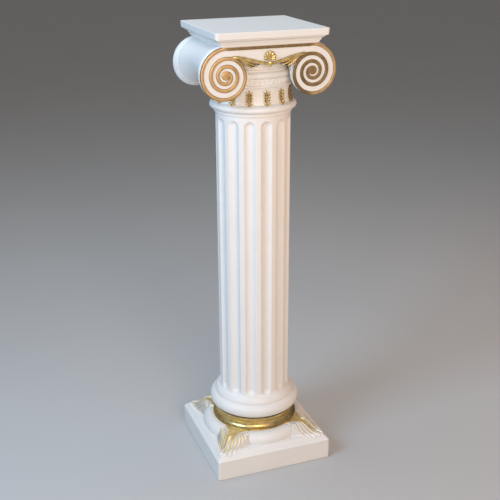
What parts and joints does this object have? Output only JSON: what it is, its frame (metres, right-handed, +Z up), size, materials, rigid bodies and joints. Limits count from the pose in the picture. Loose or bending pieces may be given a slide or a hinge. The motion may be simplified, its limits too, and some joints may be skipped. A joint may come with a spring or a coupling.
{
  "type": "column plant stand",
  "caption": "Plant stand shaped as a fluted Ionic column: square foot, fluted shaft, scrolled capital with carved ornament and a flat square top.",
  "frame": {"origin": "middle of the underside of the plinth, on the floor", "axes": "+Z up along the column's axis; the carved front with its two scrolls faces -Y, and the bolsters are on +X and -X"},
  "size_m": [0.2986, 0.277, 1],
  "materials": {
    "white_plaster": "satin white paint on cast plaster",
    "gold_paint": "antique gold paint on the raised ornament"
  },
  "bodies": {
    "root": {"column_plant_stand": "white_plaster"}
  },
  "joints": []
}
